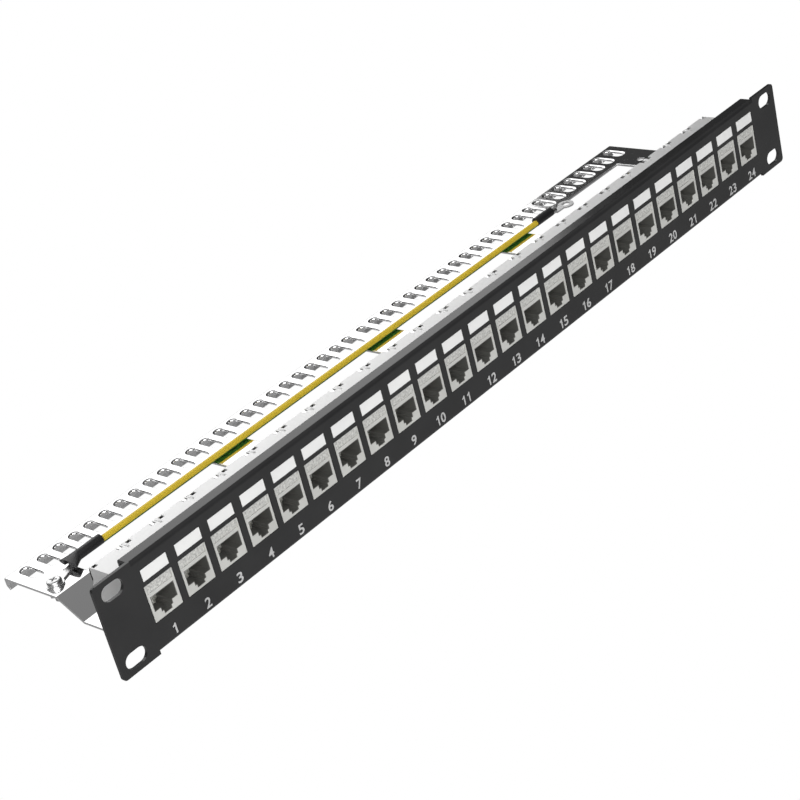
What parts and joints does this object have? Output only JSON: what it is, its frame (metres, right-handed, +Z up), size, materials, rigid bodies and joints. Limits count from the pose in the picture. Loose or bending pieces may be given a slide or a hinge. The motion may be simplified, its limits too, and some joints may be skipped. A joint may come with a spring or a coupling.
{
  "type": "shielded patch panel",
  "caption": "One-unit rack patch panel with shielded snap-in jacks, label fields, a metal grounding tray, a rear cable-manager shelf with tie slots, and an earth lead.",
  "frame": {"origin": "centre of the four ear slots, on the panel's rear face that meets the rack posts", "axes": "+X along the panel from port 1 to port 24, +Z up, -Y out of the front, +Y towards the cable manager"},
  "size_m": [0.4826, 0.0982, 0.044],
  "materials": {
    "black_sheet": "fine matt powder coat",
    "label_white": "satin paper-white insert",
    "plated_steel": "bright zinc plate",
    "tray_steel": "satin tin plate",
    "die_cast": "satin nickel on die-cast zinc",
    "contact_block": "matt",
    "contact_gold": "gold flash",
    "earth_pvc": "yellow and green stripes, soft sheen",
    "terminal_tin": "tin plate",
    "black_sleeve": "heat-shrink, soft sheen",
    "fastener_zinc": "zinc plate"
  },
  "bodies": {
    "panel": {"front_panel": "black_sheet", "port_labels": "label_white", "ground_tray": "tray_steel", "cable_manager": "plated_steel", "jack_housing_01": "die_cast", "jack_housing_02": "die_cast", "jack_housing_03": "die_cast", "jack_housing_04": "die_cast", "jack_housing_05": "die_cast", "jack_housing_06": "die_cast", "jack_housing_07": "die_cast", "jack_housing_08": "die_cast", "jack_housing_09": "die_cast", "jack_housing_10": "die_cast", "jack_housing_11": "die_cast", "jack_housing_12": "die_cast", "jack_housing_13": "die_cast", "jack_housing_14": "die_cast", "jack_housing_15": "die_cast", "jack_housing_16": "die_cast", "jack_housing_17": "die_cast", "jack_housing_18": "die_cast", "jack_housing_19": "die_cast", "jack_housing_20": "die_cast", "jack_housing_21": "die_cast", "jack_housing_22": "die_cast", "jack_housing_23": "die_cast", "jack_housing_24": "die_cast", "jack_rear_caps": "contact_block", "contact_carriers": "contact_block", "socket_liners": "contact_block", "jack_contacts": "contact_gold", "earth_lead": "earth_pvc", "ring_terminals": "terminal_tin", "lead_sleeves": "black_sleeve", "fasteners": "fastener_zinc"},
    "latch_01": {"jack_latch_01": "die_cast"},
    "latch_02": {"jack_latch_02": "die_cast"},
    "latch_03": {"jack_latch_03": "die_cast"},
    "latch_04": {"jack_latch_04": "die_cast"},
    "latch_05": {"jack_latch_05": "die_cast"},
    "latch_06": {"jack_latch_06": "die_cast"},
    "latch_07": {"jack_latch_07": "die_cast"},
    "latch_08": {"jack_latch_08": "die_cast"},
    "latch_09": {"jack_latch_09": "die_cast"},
    "latch_10": {"jack_latch_10": "die_cast"},
    "latch_11": {"jack_latch_11": "die_cast"},
    "latch_12": {"jack_latch_12": "die_cast"},
    "latch_13": {"jack_latch_13": "die_cast"},
    "latch_14": {"jack_latch_14": "die_cast"},
    "latch_15": {"jack_latch_15": "die_cast"},
    "latch_16": {"jack_latch_16": "die_cast"},
    "latch_17": {"jack_latch_17": "die_cast"},
    "latch_18": {"jack_latch_18": "die_cast"},
    "latch_19": {"jack_latch_19": "die_cast"},
    "latch_20": {"jack_latch_20": "die_cast"},
    "latch_21": {"jack_latch_21": "die_cast"},
    "latch_22": {"jack_latch_22": "die_cast"},
    "latch_23": {"jack_latch_23": "die_cast"},
    "latch_24": {"jack_latch_24": "die_cast"}
  },
  "joints": [
    {"name": "latch_01_press", "type": "hinge", "parent": "panel", "child": "latch_01", "pos_m": [-0.2116, 0.0185, 0.0064], "axis": [1, 0, 0], "range_deg": [0, 3], "stiffness_Nm_per_rad": 0.05},
    {"name": "latch_02_press", "type": "hinge", "parent": "panel", "child": "latch_02", "pos_m": [-0.1932, 0.0185, 0.0064], "axis": [1, 0, 0], "range_deg": [0, 3], "stiffness_Nm_per_rad": 0.05},
    {"name": "latch_03_press", "type": "hinge", "parent": "panel", "child": "latch_03", "pos_m": [-0.1748, 0.0185, 0.0064], "axis": [1, 0, 0], "range_deg": [0, 3], "stiffness_Nm_per_rad": 0.05},
    {"name": "latch_04_press", "type": "hinge", "parent": "panel", "child": "latch_04", "pos_m": [-0.1564, 0.0185, 0.0064], "axis": [1, 0, 0], "range_deg": [0, 3], "stiffness_Nm_per_rad": 0.05},
    {"name": "latch_05_press", "type": "hinge", "parent": "panel", "child": "latch_05", "pos_m": [-0.138, 0.0185, 0.0064], "axis": [1, 0, 0], "range_deg": [0, 3], "stiffness_Nm_per_rad": 0.05},
    {"name": "latch_06_press", "type": "hinge", "parent": "panel", "child": "latch_06", "pos_m": [-0.1196, 0.0185, 0.0064], "axis": [1, 0, 0], "range_deg": [0, 3], "stiffness_Nm_per_rad": 0.05},
    {"name": "latch_07_press", "type": "hinge", "parent": "panel", "child": "latch_07", "pos_m": [-0.1012, 0.0185, 0.0064], "axis": [1, 0, 0], "range_deg": [0, 3], "stiffness_Nm_per_rad": 0.05},
    {"name": "latch_08_press", "type": "hinge", "parent": "panel", "child": "latch_08", "pos_m": [-0.0828, 0.0185, 0.0064], "axis": [1, 0, 0], "range_deg": [0, 3], "stiffness_Nm_per_rad": 0.05},
    {"name": "latch_09_press", "type": "hinge", "parent": "panel", "child": "latch_09", "pos_m": [-0.0644, 0.0185, 0.0064], "axis": [1, 0, 0], "range_deg": [0, 3], "stiffness_Nm_per_rad": 0.05},
    {"name": "latch_10_press", "type": "hinge", "parent": "panel", "child": "latch_10", "pos_m": [-0.046, 0.0185, 0.0064], "axis": [1, 0, 0], "range_deg": [0, 3], "stiffness_Nm_per_rad": 0.05},
    {"name": "latch_11_press", "type": "hinge", "parent": "panel", "child": "latch_11", "pos_m": [-0.0276, 0.0185, 0.0064], "axis": [1, 0, 0], "range_deg": [0, 3], "stiffness_Nm_per_rad": 0.05},
    {"name": "latch_12_press", "type": "hinge", "parent": "panel", "child": "latch_12", "pos_m": [-0.0092, 0.0185, 0.0064], "axis": [1, 0, 0], "range_deg": [0, 3], "stiffness_Nm_per_rad": 0.05},
    {"name": "latch_13_press", "type": "hinge", "parent": "panel", "child": "latch_13", "pos_m": [0.0092, 0.0185, 0.0064], "axis": [1, 0, 0], "range_deg": [0, 3], "stiffness_Nm_per_rad": 0.05},
    {"name": "latch_14_press", "type": "hinge", "parent": "panel", "child": "latch_14", "pos_m": [0.0276, 0.0185, 0.0064], "axis": [1, 0, 0], "range_deg": [0, 3], "stiffness_Nm_per_rad": 0.05},
    {"name": "latch_15_press", "type": "hinge", "parent": "panel", "child": "latch_15", "pos_m": [0.046, 0.0185, 0.0064], "axis": [1, 0, 0], "range_deg": [0, 3], "stiffness_Nm_per_rad": 0.05},
    {"name": "latch_16_press", "type": "hinge", "parent": "panel", "child": "latch_16", "pos_m": [0.0644, 0.0185, 0.0064], "axis": [1, 0, 0], "range_deg": [0, 3], "stiffness_Nm_per_rad": 0.05},
    {"name": "latch_17_press", "type": "hinge", "parent": "panel", "child": "latch_17", "pos_m": [0.0828, 0.0185, 0.0064], "axis": [1, 0, 0], "range_deg": [0, 3], "stiffness_Nm_per_rad": 0.05},
    {"name": "latch_18_press", "type": "hinge", "parent": "panel", "child": "latch_18", "pos_m": [0.1012, 0.0185, 0.0064], "axis": [1, 0, 0], "range_deg": [0, 3], "stiffness_Nm_per_rad": 0.05},
    {"name": "latch_19_press", "type": "hinge", "parent": "panel", "child": "latch_19", "pos_m": [0.1196, 0.0185, 0.0064], "axis": [1, 0, 0], "range_deg": [0, 3], "stiffness_Nm_per_rad": 0.05},
    {"name": "latch_20_press", "type": "hinge", "parent": "panel", "child": "latch_20", "pos_m": [0.138, 0.0185, 0.0064], "axis": [1, 0, 0], "range_deg": [0, 3], "stiffness_Nm_per_rad": 0.05},
    {"name": "latch_21_press", "type": "hinge", "parent": "panel", "child": "latch_21", "pos_m": [0.1564, 0.0185, 0.0064], "axis": [1, 0, 0], "range_deg": [0, 3], "stiffness_Nm_per_rad": 0.05},
    {"name": "latch_22_press", "type": "hinge", "parent": "panel", "child": "latch_22", "pos_m": [0.1748, 0.0185, 0.0064], "axis": [1, 0, 0], "range_deg": [0, 3], "stiffness_Nm_per_rad": 0.05},
    {"name": "latch_23_press", "type": "hinge", "parent": "panel", "child": "latch_23", "pos_m": [0.1932, 0.0185, 0.0064], "axis": [1, 0, 0], "range_deg": [0, 3], "stiffness_Nm_per_rad": 0.05},
    {"name": "latch_24_press", "type": "hinge", "parent": "panel", "child": "latch_24", "pos_m": [0.2116, 0.0185, 0.0064], "axis": [1, 0, 0], "range_deg": [0, 3], "stiffness_Nm_per_rad": 0.05}
  ]
}
